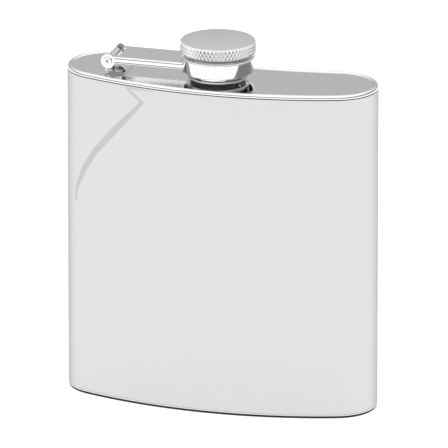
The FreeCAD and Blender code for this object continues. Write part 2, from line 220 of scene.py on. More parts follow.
def trace(name, start, moves):
    """A chain of edges from a start point, along straight lines and arcs, left in edit mode.

    A move is ("line", point) or ("arc", centre, angle, steps, axis), whose angle follows
    the right-hand rule. The spin operator turns the other way, so its angle is negated.
    """
    bpy.ops.mesh.primitive_plane_add(size=MM, location=start)
    piece = name_new(name)
    edit_mode()
    bpy.ops.mesh.merge(type="CENTER")
    here = Vector(start)
    for move in moves:
        if move[0] == "line":
            step = Vector(move[1]) - here
            bpy.ops.mesh.extrude_region_move(TRANSFORM_OT_translate={"value": step})
            here += step
        else:
            _, centre, angle, steps, axis = move
            bpy.ops.mesh.spin(
                steps=steps, angle=-angle, center=centre, axis=axis, use_auto_merge=False
            )
            turn = Vector(axis).normalized()
            arm = here - Vector(centre)
            here = Vector(centre) + arm * math.cos(angle) + turn.cross(arm) * math.sin(angle)
    return piece


def near(first, second):
    """Whether two lengths are the same to a micrometre."""
    return abs(first - second) < SAME_PLACE


def merge_doubles():
    """Merges the doubles of the whole mesh, in edit mode."""
    bpy.ops.mesh.select_all(action="SELECT")
    bpy.ops.mesh.remove_doubles(threshold=MERGE_DISTANCE)


def face_outwards():
    """Turns every face of the mesh in edit mode outwards, and leaves edit mode."""
    bpy.ops.mesh.select_all(action="SELECT")
    bpy.ops.mesh.normals_make_consistent(inside=False)
    object_mode()


def deselect(piece):
    """Deselects every element of the piece, in object mode."""
    for elements in (piece.data.vertices, piece.data.edges, piece.data.polygons):
        for element in elements:
            element.select = False


def bow_outline(name, height):
    """The closed plan outline of the body at a height: four tangent arcs."""
    sizes = body_sizes()
    end_x = sizes.half_width - sizes.end_radius
    end_y = sizes.half_depth - sizes.end_radius
    front_reach = math.sqrt((sizes.front_radius - sizes.end_radius) ** 2 - end_x ** 2)
    back_reach = math.sqrt((sizes.back_radius + sizes.end_radius) ** 2 - end_x ** 2)
    front_half = math.atan2(end_x, front_reach)
    back_half = math.atan2(end_x, back_reach)
    end_turn = math.pi - front_half + back_half
    front_centre = (0, end_y + front_reach, height)
    back_centre = (0, end_y + back_reach, height)
    start_x = -sizes.front_radius * math.sin(front_half)
    start_y = front_centre[1] - sizes.front_radius * math.cos(front_half)
    up = (0, 0, 1)
    piece = trace(name, (start_x, start_y, height), [
        ("arc", front_centre, 2 * front_half, FRONT_STEPS, up),
        ("arc", (end_x, end_y, height), end_turn, END_STEPS, up),
        ("arc", back_centre, -2 * back_half, BACK_STEPS, up),
        ("arc", (-end_x, end_y, height), end_turn, END_STEPS, up),
    ])
    merge_doubles()
    return piece


def select_faces(piece, wanted):
    """Selects, in edit mode, only the faces that a test on centre and normal picks out."""
    object_mode()
    deselect(piece)
    for face in piece.data.polygons:
        face.select = wanted(piece.matrix_world @ face.center, face.normal)
    edit_mode("FACE")


def select_edges(piece, wanted):
    """Selects, in edit mode, only the edges whose two ends a test picks out.

    Edge mode comes first, because vertex mode would add every edge between chosen ends.
    """
    edit_mode("EDGE")
    object_mode()
    deselect(piece)
    points = [piece.matrix_world @ vertex.co for vertex in piece.data.vertices]
    for edge in piece.data.edges:
        edge.select = wanted(*(points[i] for i in edge.vertices))
    edit_mode("EDGE")


def apply_modifier(piece, kind, **settings):
    """Adds a modifier with its settings and applies it."""
    activate(piece)
    bpy.ops.object.modifier_add(type=kind)
    modifier = piece.modifiers[-1]
    for name, value in settings.items():
        setattr(modifier, name, value)
    bpy.ops.object.modifier_apply(modifier=modifier.name)


def combine(piece, tool, operation):
    """Joins, cuts or keeps the shared part of a piece and a tool, which is removed."""
    apply_modifier(piece, "BOOLEAN", operation=operation, object=tool, solver="EXACT")
    bpy.data.meshes.remove(tool.data)


def soften_edges(piece, width, segments=3, angle=30):
    """Rounds the piece's sharp edges."""
    apply_modifier(
        piece, "BEVEL", width=width, segments=segments, limit_method="ANGLE",
        angle_limit=math.radians(angle), use_clamp_overlap=True, miter_outer="MITER_ARC",
    )


def complete(piece, node, material, smooth_angle=35):
    """Smooths a piece, dresses it and puts it on its node's body in the node's place."""
    place_in_mesh(piece)
    bpy.ops.object.shade_smooth_by_angle(angle=math.radians(smooth_angle))
    apply_modifier(piece, "WEIGHTED_NORMAL", keep_sharp=True, weight=100)
    piece.data.materials.clear()
    piece.data.materials.append(material)
    members = frame["record"]["behaviour"]["bodies"]
    body = next(name for name, nodes in members.items() if node in nodes)
    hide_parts(node)
    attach(piece, body)


def turn_section(name, corners, steps=128, axis_point=NECK, axis=(0, 0, 1)):
    """A solid turned from a section of (radius, place along the axis) corners."""
    centre = Vector(axis_point)
    along = Vector(axis)
    across = Vector((1, 0, 0))
    base = centre - along * centre.dot(along)
    points = [base + across * radius + along * place for radius, place in corners]
    if corners[0][0] > 0:
        points.append(points[0])
    trace(name, points[0], [("line", point) for point in points[1:]])
    piece = bpy.context.object
    bpy.ops.mesh.select_all(action="SELECT")
    bpy.ops.mesh.spin(steps=steps, angle=2 * math.pi, center=centre, axis=axis, use_auto_merge=False)
    merge_doubles()
    face_outwards()
    return piece


def round_corner(centre_radius, centre_place, radius, start, end, steps=6):
    """Points of a rounded corner in a section, from one angle in degrees to another."""
    turns = [math.radians(start + (end - start) * i / steps) for i in range(steps + 1)]
    return [
        (centre_radius + radius * math.cos(turn), centre_place + radius * math.sin(turn))
        for turn in turns
    ]


def add_block(name, low, high):
    """A box between two corners."""
    low, high = Vector(low), Vector(high)
    bpy.ops.mesh.primitive_cube_add(size=1, location=(low + high) / 2, scale=high - low)
    piece = name_new(name)
    place_in_mesh(piece)
    return piece


def add_rod(name, centre, radius, tall, axis="Z", vertices=96):
    """A cylinder centred on a point, along Z or Y."""
    turned = (math.pi / 2, 0, 0) if axis == "Y" else (0, 0, 0)
    bpy.ops.mesh.primitive_cylinder_add(
        vertices=vertices, radius=radius, depth=tall, location=centre, rotation=turned
    )
    piece = name_new(name)
    place_in_mesh(piece)
    return piece


def add_thread(name, root, crest, low, high, lead):
    """A helical ridge round the neck axis, from a root radius to a crest radius."""
    foot, tip, sink = 0.9 * MM, 0.3 * MM, 0.1 * MM
    sunk = root - math.copysign(sink, crest - root)
    section = [
        (sunk, low),
        (crest, low + (foot - tip) / 2),
        (crest, low + (foot + tip) / 2),
        (sunk, low + foot),
    ]
    points = [Vector((radius, NECK.y, place)) for radius, place in section]
    piece = trace(name, points[0], [("line", point) for point in points[1:] + points[:1]])
    merge_doubles()
    object_mode()
    bpy.context.scene.cursor.location = (0, NECK.y, low)
    bpy.ops.object.origin_set(type="ORIGIN_CURSOR")
    climb = high - low - foot
    turns = climb / lead
    apply_modifier(
        piece, "SCREW", axis="Z", angle=2 * math.pi * turns, screw_offset=climb,
        steps=round(THREAD_STEPS * turns), use_merge_vertices=False, use_normal_calculate=False,
    )
    bpy.context.scene.cursor.location = (0, 0, 0)
    edit_mode()
    merge_doubles()
    bpy.ops.mesh.fill_holes(sides=len(section))
    face_outwards()
    place_in_mesh(piece)
    return piece


def add_plate(name, seam, rim, rounding, flat, slope, dish):
    """A plate from the seam to its rim: a rounded edge, a flat rim and a shallow dish."""
    outward = 1 if rim > seam else -1
    steps, level = 5, 0.999
    piece = bow_outline(name, seam)
    bpy.ops.mesh.edge_face_add()
    bpy.ops.mesh.extrude_region_move(TRANSFORM_OT_translate={"value": (0, 0, rim - seam)})
    face_outwards()
    select_edges(piece, lambda a, b: near(a.z, rim) and near(b.z, rim))
    bpy.ops.mesh.bevel(offset=rounding, segments=8, affect="EDGES")
    select_faces(piece, lambda centre, normal: normal.z * outward > level and near(centre.z, rim))
    bpy.ops.mesh.inset(thickness=flat)
    for step in range(steps):
        start, end = (
            (1 - math.cos(math.pi * share / steps)) / 2 for share in (step, step + 1)
        )
        bpy.ops.mesh.inset(thickness=slope / steps, depth=-dish * (end - start))
    object_mode()
    return piece


# ---------------------------------------------------------------- materials


def shade(colour_value, factor=1.0):
    """A colour with alpha, made lighter or darker."""
    return (*(min(1.0, channel * factor) for channel in colour_value), 1.0)


class Wire:
    """A shader socket on which Python's operators add Math nodes."""

    def __init__(self, maker, socket):
        self.maker = maker
        self.socket = socket

    def math(self, operation, *others):
        """A Math node on this value and others."""
        return self.maker.node("ShaderNodeMath", {"operation": operation}, (self, *others))

    def __add__(self, other):
        return self.math("ADD", other)

    __radd__ = __add__

    def __mul__(self, other):
        return self.math("MULTIPLY", other)

    __rmul__ = __mul__

    def __sub__(self, other):
        return self.math("SUBTRACT", other)

    def __rsub__(self, other):
        return self.maker.node("ShaderNodeMath", {"operation": "SUBTRACT"}, (other, self))


class NodeMaker:
    """Adds nodes to a tree and links them."""

    def __init__(self, tree):
        self.tree = tree

    def node(self, kind, settings=None, inputs=None, output=0):
        """A node with its settings, then its sockets' values or links. Returns one output."""
        made = self.tree.nodes.new(kind)
        for name, value in (settings or {}).items():
            setattr(made, name, value)
        pairs = inputs.items() if isinstance(inputs, dict) else enumerate(inputs or ())
        for key, value in pairs:
            self.feed(made.inputs[key], value)
        return Wire(self, made.outputs[output])

    def feed(self, socket, value):
        """Links a wire to a socket, or sets the socket's value."""
        if isinstance(value, Wire):
            self.tree.links.new(value.socket, socket)
        else:
            socket.default_value = value

    def blend(self, factor, first, second):
        """A colour between two colours."""
        inputs = {"Factor": factor, 6: first, 7: second}
        return self.node("ShaderNodeMix", {"data_type": "RGBA"}, inputs, 2)

    def vector(self, operation, *inputs, output="Vector"):
        """A Vector Math node."""
        return self.node("ShaderNodeVectorMath", {"operation": operation}, inputs, output)

    def axes(self, vector):
        """The three parts of a vector."""
        split = self.node("ShaderNodeSeparateXYZ", {}, (vector,)).socket.node
        return [Wire(self, output) for output in split.outputs]

    def fade(self, value, start, end):
        """A smooth step from 0 at the start to 1 at the end."""
        inputs = {"Value": value, "From Min": start, "From Max": end}
        return self.node("ShaderNodeMapRange", {"interpolation_type": "SMOOTHSTEP"}, inputs)

    def ramp(self, value, stops):
        """A grey level that follows a value through stops of (place, level)."""
        made = self.node("ShaderNodeValToRGB", {}, (value,))
        elements = made.socket.node.color_ramp.elements
        for element, (place, level) in zip(elements, (stops[0], stops[-1])):
            element.position, element.color = place, (level, level, level, 1)
        for place, level in stops[1:-1]:
            elements.new(place).color = (level, level, level, 1)
        return made


class Finish(NodeMaker):
    """A material under construction."""

    def __init__(self, name, **constants):
        self.material = bpy.data.materials.new(name)
        self.material.use_nodes = True
        super().__init__(self.material.node_tree)
        self.surface = self.tree.nodes["Principled BSDF"]
        for socket, value in constants.items():
            self.surface.inputs[socket.replace("_", " ")].default_value = value

    def drive(self, **inputs):
        """Feeds the surface shader's sockets."""
        for socket, value in inputs.items():
            self.feed(self.surface.inputs[socket.replace("_", " ")], value)

    def place(self, scale=(1, 1, 1)):
        """Object coordinates, stretched by a scale."""
        coordinates = self.node("ShaderNodeTexCoord", output="Object")
        inputs = {"Vector": coordinates, "Scale": scale}
        return self.node("ShaderNodeMapping", {"vector_type": "POINT"}, inputs)

    def noise(self, vector, scale, detail=3.0):
        """Smooth noise from 0 to 1."""
        inputs = {"Vector": vector, "Scale": scale, "Detail": detail, "Roughness": 0.55}
        return self.node("ShaderNodeTexNoise", {"normalize": True}, inputs, "Fac")

    def bump(self, height, distance):
        """A normal from a height."""
        inputs = {"Height": height, "Distance": distance}
        return self.node("ShaderNodeBump", {}, inputs, "Normal")

    def vary(self, level, colour_value, darker, lighter):
        """A colour that runs between a darker and a lighter tone of itself."""
        return self.blend(level, shade(colour_value, darker), shade(colour_value, lighter))


GRAIN_DEPTH = 0.004 * MM
STREAK_ROUTE = (
    # x, z and half width in millimetres, from the top seam down to the left end
    (-15.5, 95.2, 0.10),
    (-23.9, 95.2, 0.30),
    (-19.1, 91.4, 0.55),
    (-28.1, 81.5, 1.00),
    (-34.3, 74.3, 0.90),
    (-38.0, 68.4, 0.85),
    (-40.5, 62.3, 0.45),
    (-41.0, 58.3, 0.30),
)


def front_streak(finish):
    """From 0 to 1 on a tapering streak across the front of the body."""
    flat = finish.place((1, 0, 1))
    soft, reach = 0.15 * MM, 2 * MM
    depth = None
    for (x, z, width), (next_x, next_z, next_width) in zip(STREAK_ROUTE, STREAK_ROUTE[1:]):
        start = Vector((x, 0, z)) * MM
        span = Vector((next_x, 0, next_z)) * MM - start
        offset = finish.vector("SUBTRACT", flat, start)
        along = finish.vector("DOT_PRODUCT", offset, span / span.length_squared, output="Value")
        share = finish.node("ShaderNodeClamp", {}, (along,))
        beside = finish.vector("SUBTRACT", offset, finish.vector("MULTIPLY", share, span))
        away = finish.vector("LENGTH", beside, output="Value")
        inside = share * ((next_width - width) * MM) + width * MM - away
        depth = depth.math("MAXIMUM", inside) if depth else inside
    front = finish.fade(finish.axes(finish.place())[1], 0.0, -reach)
    return finish.fade(depth, -soft, soft) * front


def brushed_body_finish(name):
    """Brushed steel with a fine level grain, and one faint darker streak on the front."""
    finish = Finish(name, Metallic=1.0, Specular_Tint=(0.55, 0.55, 0.55, 1))
    grain = finish.noise(finish.place((250, 250, 4000)), 1.0)
    cloud = finish.noise(finish.place((25, 25, 12)), 1.0, 2.0)
    body = finishes().body
    tone = finish.vary(grain * 0.6 + cloud * 0.4, body, 0.93, 1.06)
    streak_tone, smoothest = 0.78, 0.24
    finish.drive(
        Base_Color=finish.blend(front_streak(finish), tone, shade(body, streak_tone)),
        Roughness=grain * 0.10 + cloud * 0.06 + smoothest,
        Normal=finish.bump(grain, GRAIN_DEPTH),
    )
    return finish.material


def polished_finish(name, colour_value, roughness):
    """Polished metal with the faint waviness of a buffed surface."""
    finish = Finish(name, Metallic=1.0)
    buffing = finish.noise(finish.place(), 900.0)
    spread = 0.05
    finish.drive(
        Base_Color=finish.vary(buffing, colour_value, 0.98, 1.02),
        Roughness=buffing * spread + (roughness - spread / 2),
    )
    return finish.material


def painted_shadow_base_finish(name):
    """Polished steel with a painted shadow: nearly black from a little below the seam down, for the
    contact shadow and dark reflection at the foot.
    """
    finish = Finish(name, Metallic=1.0)
    height = finish.axes(finish.place())[2]
    painted_shadow_top, edge = body_sizes().painted_shadow_height, 0.08 * MM
    # Painted shadow: below this height the plate takes the near-black colour, standing in for the
    # contact shadow and dark reflection along the foot.
    under = finish.fade(height, painted_shadow_top, painted_shadow_top - edge)
    tone = finish.blend(under, shade(finishes().plate), shade(finishes().base))
    finish.drive(Base_Color=tone, Roughness=0.25)
    return finish.material


def satin_knob_finish(name):
    """Satin metal for the knob, with a fine even texture."""
    finish = Finish(name, Metallic=1.0)
    grain = finish.noise(finish.place(), 5000.0)
    smoothest, spread = 0.2, 0.08
    finish.drive(
        Base_Color=finish.vary(grain, finishes().knob, 0.96, 1.03),
        Roughness=grain * spread + smoothest,
        Normal=finish.bump(grain, GRAIN_DEPTH),
    )
    return finish.material


def moulded_finish(name, colour_value, roughness):
    """Moulded plastic or rubber with a faint grain."""
    finish = Finish(name, IOR=1.47)
    grain = finish.noise(finish.place(), 2500.0)
    spread, depth = 0.08, 0.01 * MM
    finish.drive(
        Base_Color=finish.vary(grain, colour_value, 0.95, 1.05),
        Roughness=grain * spread + (roughness - spread / 2),
        Normal=finish.bump(grain, depth),
    )
    return finish.material


def material(build, name, *settings):
    """The material of this name, built from its settings on first use."""
    return bpy.data.materials.get(name) or build(name, *settings)


def trim_steel():
    """The bright steel shared by the hinge, the arm, the ring and the skirt."""
    return material(polished_finish, "Bright trim steel", finishes().trim, 0.08)


def liner_plastic():
    """The plastic shared by the liner and the knob's core."""
    return material(moulded_finish, "Moulded liner", finishes().liner, 0.45)


# ---------------------------------------------------------------- operators


class FLASK_OT_body_shell(Operator):
    """Model the brushed, bowed tube"""

    bl_idname = "flask.body_shell"
    bl_label = "Body shell"

    def execute(self, context):
        sizes = body_sizes()
        piece = bow_outline("flask_body_shell", SHELL_LOW.z + sizes.base_gap)
        tall = SHELL_HIGH.z - SHELL_LOW.z - sizes.top_gap - sizes.base_gap
        bpy.ops.mesh.extrude_region_move(TRANSFORM_OT_translate={"value": (0, 0, tall)})
        face_outwards()
        apply_modifier(piece, "SOLIDIFY", thickness=sizes.wall, offset=-1, use_even_offset=True)
        soften_edges(piece, sizes.seam)
        complete(piece, "body_shell", material(brushed_body_finish, "Brushed body steel"))
        return {"FINISHED"}


class FLASK_OT_top_plate(Operator):
    """Model the polished top plate with its rounded rim and neck hole"""

    bl_idname = "flask.top_plate"
    bl_label = "Top plate"

    def execute(self, context):
        sizes = body_sizes()
        piece = add_plate(
            "flask_top_plate", TOP_LOW.z, TOP_HIGH.z,
            sizes.shoulder, sizes.crest, sizes.dish_slope, sizes.dish,
        )
        tall = 6 * MM
        hole = add_rod("hole_tool", (NECK.x, NECK.y, TOP_LOW.z), cap_sizes().neck_root, tall)
        combine(piece, hole, "DIFFERENCE")
        soften_edges(piece, sizes.seam, angle=50)
        steel = material(polished_finish, "Polished plate steel", finishes().plate, 0.09)
        complete(piece, "top_plate", steel)
        return {"FINISHED"}


class FLASK_OT_bottom_plate(Operator):
    """Model the bottom plate with its resting rim and shallow hollow"""

    bl_idname = "flask.bottom_plate"
    bl_label = "Bottom plate"

    def execute(self, context):
        sizes = body_sizes()
        piece = add_plate(
            "flask_bottom_plate", SHELL_LOW.z, 0.0,
            sizes.base_round, sizes.base_rim, sizes.base_slope, sizes.base_hollow,
        )
        soften_edges(piece, sizes.seam, angle=50)
        # The base steel carries a painted shadow along its lower edge.
        complete(piece, "bottom_plate", material(painted_shadow_base_finish, "Base steel"))
        return {"FINISHED"}


class FLASK_OT_neck_spout(Operator):
    """Model the threaded neck with its flared foot"""

    bl_idname = "flask.neck_spout"
    bl_label = "Neck spout"

    def execute(self, context):
        sizes = cap_sizes()
        top_z, low_z = SPOUT_HIGH.z, SPOUT_LOW.z
        plate_z = TOP_HIGH.z - body_sizes().dish
        flare = sizes.neck_foot - sizes.neck_root
        curve, foot_edge, lip = 0.7 * flare, 0.15 * MM, 0.25 * MM
        ridge, thread_low, thread_high = 0.45 * MM, plate_z + 1.6 * MM, top_z - 0.3 * MM
        corners = [(sizes.neck_bore, low_z), (sizes.neck_root, low_z), (sizes.neck_root, plate_z)]
        corners += [(sizes.neck_foot, plate_z)]
        corners += round_corner(sizes.neck_foot, plate_z + foot_edge + curve, curve, -90, -180)[1:]
        corners += [(sizes.neck_root, plate_z + flare)]
        corners += round_corner(sizes.neck_root - lip, top_z - lip, lip, 0, 90)
        corners += round_corner(sizes.neck_bore + lip, top_z - lip, lip, 90, 180)
        piece = turn_section("flask_neck_spout", corners)
        thread = add_thread(
            "thread_tool", sizes.neck_root, sizes.neck_root + ridge,
            thread_low, thread_high, sizes.thread_lead,
        )
        combine(piece, thread, "UNION")
        steel = material(polished_finish, "Turned neck steel", finishes().trim, 0.2)
        complete(piece, "neck_spout", steel)
        return {"FINISHED"}


class FLASK_OT_hinge(Operator):
    """Model the bracket with its curled knuckle, and the hollow rivet"""

    bl_idname = "flask.hinge"
    bl_label = "Hinge bracket and rivet"

    def execute(self, context):
        self.model_bracket()
        self.model_rivet()
        return {"FINISHED"}

    def model_bracket(self):
        """Bends one strip: a foot, an upright and a curl round the rivet."""
        plate_z = TOP_HIGH.z - body_sizes().dish
        outer = HINGE.x - BRACKET_LOW.x
        sheet = outer - cap_sizes().pin_radius
        bend, gap, edge = 1.1 * MM, 0.05 * MM, 0.1 * MM
        curl_turn = math.radians(285)
        front_y = BRACKET_LOW.y
        back = (0, 1, 0)
        foot_end = (BRACKET_HIGH.x, front_y, plate_z)
        bend_centre = (HINGE.x - outer + bend, front_y, plate_z + bend)
        bend_start = (bend_centre[0], front_y, plate_z)
        hinge = (HINGE.x, front_y, HINGE.z)
        piece = trace("flask_hinge_bracket", foot_end, [
            ("line", bend_start),
            ("arc", bend_centre, math.pi / 2, 8, back),
            ("line", (HINGE.x - outer, front_y, HINGE.z)),
            ("arc", hinge, curl_turn, 40, back),
        ])
        merge_doubles()
        wide = BRACKET_HIGH.y - BRACKET_LOW.y
        bpy.ops.mesh.extrude_region_move(TRANSFORM_OT_translate={"value": (0, wide, 0)})
        face_outwards()
        foot = min(piece.data.polygons, key=lambda face: face.center.z)
        inwards = -1 if foot.normal.z < 0 else 1
        apply_modifier(piece, "SOLIDIFY", thickness=sheet, offset=inwards, use_even_offset=True)
        edit_mode()
        face_outwards()
        self.narrow_curl(piece, plate_z + bend + gap)
        soften_edges(piece, edge)
        complete(piece, "hinge_bracket", trim_steel())

    def narrow_curl(self, piece, shoulder_z):
        """Trims the strip's sides above the foot, down to the curl's width."""
        half = cap_sizes().curl_half
        spare = 1 * MM
        for low_y, high_y in (
            (BRACKET_LOW.y - spare, NECK.y - half),
            (NECK.y + half, BRACKET_HIGH.y + spare),
        ):
            tool = add_block(
                "shoulder_tool",
                (BRACKET_LOW.x - spare, low_y, shoulder_z),
                (BRACKET_HIGH.x + spare, high_y, BRACKET_HIGH.z + spare),
            )
            combine(piece, tool, "DIFFERENCE")

    def model_rivet(self):
        """Turns the rivet, with domed heads and a hollow front end."""
        low, high = PIN_LOW.y, PIN_HIGH.y
        head, shank = (PIN_HIGH.z - PIN_LOW.z) / 2, cap_sizes().pin_radius
        hollow, deep, edge = cap_sizes().pin_hollow, 2.5 * MM, 0.1 * MM
        thick, dome = 0.35 * MM, 0.3 * MM
        corners = [(0, low + deep), (hollow, low + deep), (hollow, low + edge)]
        corners += [(hollow + edge, low)]
        corners += round_corner(head - dome, low + dome, dome, -90, 0)
        corners += [(head, low + thick), (shank, low + thick), (shank, high - thick)]
        corners += [(head, high - thick)]
        corners += round_corner(head - dome, high - dome, dome, 0, 90)
        corners += [(0, high)]
        piece = turn_section("flask_hinge_pin", corners, 48, HINGE, (0, 1, 0))
        complete(piece, "hinge_pin", trim_steel())


class FLASK_OT_cap_arm(Operator):
    """Model the folded arm with its two hinge ears"""

    bl_idname = "flask.cap_arm"
    bl_label = "Cap arm"

    def execute(self, context):
        sizes = cap_sizes()
        half = (ARM_HIGH.y - ARM_LOW.y) / 2
        front, back = NECK.y - half, NECK.y + half
        rise, end_x = 1.4 * MM, -8 * MM
        top = HINGE.z + rise
        low = top - sizes.flange
        inner = half - sizes.sheet
        far, cope_tall, clearance, edge = 5 * MM, 20 * MM, 0.05 * MM, 0.05 * MM
        piece = add_block(
            "flask_cap_arm", (HINGE.x - sizes.arm_back, front, low), (end_x, back, top)
        )
        select_edges(piece, lambda a, b: near(a.z, top) and near(b.z, top) and near(a.y, b.y))
        bpy.ops.mesh.bevel(offset=sizes.bend, segments=6, affect="EDGES")
        object_mode()
        channel = add_block(
            "channel_tool",
            (HINGE.x - far, NECK.y - inner, HINGE.z - far),
            (0, NECK.y + inner, top - sizes.sheet),
        )
        combine(piece, channel, "DIFFERENCE")
        notch = add_block(
            "notch_tool",
            (HINGE.x - far, NECK.y - sizes.notch_half, HINGE.z),
            (HINGE.x + sizes.notch, NECK.y + sizes.notch_half, HINGE.z + far),
        )
        combine(piece, notch, "DIFFERENCE")
        for side in (-1, 1):
            middle = (HINGE.x, NECK.y + side * (half - sizes.sheet / 2), HINGE.z)
            ear = add_rod("ear_tool", middle, sizes.ear_radius, sizes.sheet, "Y")
            combine(piece, ear, "UNION")
        self.press_lines(piece, front, back, low, top)
        cope = add_rod(
            "cope_tool", (NECK.x, NECK.y, top), sizes.ring_radius, cope_tall, vertices=192
        )
        combine(piece, cope, "DIFFERENCE")
        bore = add_rod("bore_tool", HINGE, sizes.pin_radius + clearance, 4 * half, "Y", 48)
        combine(piece, bore, "DIFFERENCE")
        soften_edges(piece, edge, 2)
        complete(piece, "cap_arm", trim_steel())
        return {"FINISHED"}

    def press_lines(self, piece, front, back, low, top):
        """Presses a fine line into each side near its top and its lower edge."""
        sizes = cap_sizes()
        start = HINGE.x + sizes.ear_radius
        deep, above_edge = 0.4 * MM, 0.3 * MM
        for line_z in (top - sizes.bend, low + above_edge):
            for side in (front, back):
                line = add_block(
                    "line_tool",
                    (start, side - deep, line_z - sizes.press_line / 2),
                    (0, side + deep, line_z + sizes.press_line / 2),
                )
                combine(piece, line, "DIFFERENCE")


class FLASK_OT_cap_collar(Operator):
    """Model the retaining ring with its lip turned in at the top"""

    bl_idname = "flask.cap_collar"
    bl_label = "Cap collar"

    def execute(self, context):
        sizes = cap_sizes()
        low, high = RING_LOW.z, RING_HIGH.z
        outer, sheet = sizes.ring_radius, sizes.sheet
        bend = 0.55 * MM
        edge = 0.15 * MM
        corners = [(outer - sheet + edge, low), (outer - edge, low), (outer, low + edge)]
        corners += round_corner(outer - bend, high - bend, bend, 0, 90, 8)
        corners += [(sizes.ring_hole + edge, high), (sizes.ring_hole, high - edge)]
        corners += [(sizes.ring_hole, high - sheet), (outer - sheet, high - sheet)]
        corners += [(outer - sheet, low + edge)]
        piece = turn_section("flask_cap_collar", corners, 192)
        complete(piece, "cap_collar", trim_steel())
        return {"FINISHED"}


class FLASK_OT_cap_skirt(Operator):
    """Model the cap's plated skirt with its rolled bead"""

    bl_idname = "flask.cap_skirt"
    bl_label = "Cap skirt"

    def execute(self, context):
        sizes = cap_sizes()
        low, high = SKIRT_LOW.z, SKIRT_HIGH.z
        bead, step, roof = 0.35 * MM, 0.1 * MM, 0.45 * MM
        corners = [(0, high - roof), (sizes.skirt_bore, high - roof), (sizes.skirt_bore, low + bead)]
        corners += round_corner(sizes.bead_radius - bead, low + bead, bead, -90, 90, 12)
        corners += [(sizes.skirt_radius, low + 2 * bead + step), (sizes.skirt_radius, high)]
        corners += [(0, high)]
        piece = turn_section("flask_cap_skirt", corners)
        complete(piece, "cap_skirt", trim_steel())
        return {"FINISHED"}


class FLASK_OT_cap_inside(Operator):
    """Model the threaded liner, the soft seal and the knob's core"""

    bl_idname = "flask.cap_inside"
    bl_label = "Cap liner, seal and core"

    def execute(self, context):
        self.model_liner()
        self.model_seal()
        self.model_core()
        return {"FINISHED"}

    def model_liner(self):
        """Turns the liner, with a lip that holds the seal, and adds its thread."""
        sizes = cap_sizes()
        root, crest, groove, edge = 7.4 * MM, 7.0 * MM, 7.25 * MM, 0.12 * MM
        low, high = LINER_LOW.z, LINER_HIGH.z
        lip_z, roof_z = SEAL_LOW.z - 0.1 * MM, SEAL_HIGH.z + 0.05 * MM
        slope_low, slope_high = lip_z - 0.5 * MM, lip_z - 0.3 * MM
        thread_low, thread_high = low + 0.2 * MM, lip_z - 0.4 * MM
        piece = turn_section("flask_thread_liner", [
            (0, high),
            (sizes.skirt_bore, high),
            (sizes.skirt_bore, low + edge),
            (sizes.skirt_bore - edge, low),
            (root + edge, low),
            (root, low + edge),
            (root, slope_low),
            (crest, slope_high),
            (crest, lip_z),
            (groove, lip_z),
            (groove, roof_z),
            (0, roof_z),
        ])
        thread = add_thread(
            "liner_thread_tool", root, crest, thread_low, thread_high, sizes.thread_lead
        )
        combine(piece, thread, "UNION")
        complete(piece, "thread_liner", liner_plastic())

    def model_seal(self):
        """Turns the soft disc with its rounded edge."""
        edge = 0.2 * MM
        inner = (SEAL_HIGH.x - SEAL_LOW.x) / 2 - edge
        corners = [(0, SEAL_LOW.z)]
        corners += round_corner(inner, SEAL_LOW.z + edge, edge, -90, 0, 4)
        corners += round_corner(inner, SEAL_HIGH.z - edge, edge, 0, 90, 4)
        corners += [(0, SEAL_HIGH.z)]
        piece = turn_section("flask_seal_washer", corners)
        rubber = material(moulded_finish, "Soft seal", finishes().seal, 0.6)
        complete(piece, "seal_washer", rubber)

    def model_core(self):
        """Turns the disc that fills the knob."""
        low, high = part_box("knob_core")
        radius, edge = (high.x - low.x) / 2, 0.3 * MM
        piece = turn_section("flask_knob_core", [
            (0, low.z),
            (radius - edge, low.z),
            (radius, low.z + edge),
            (radius, high.z),
            (0, high.z),
        ])
        complete(piece, "knob_core", liner_plastic())


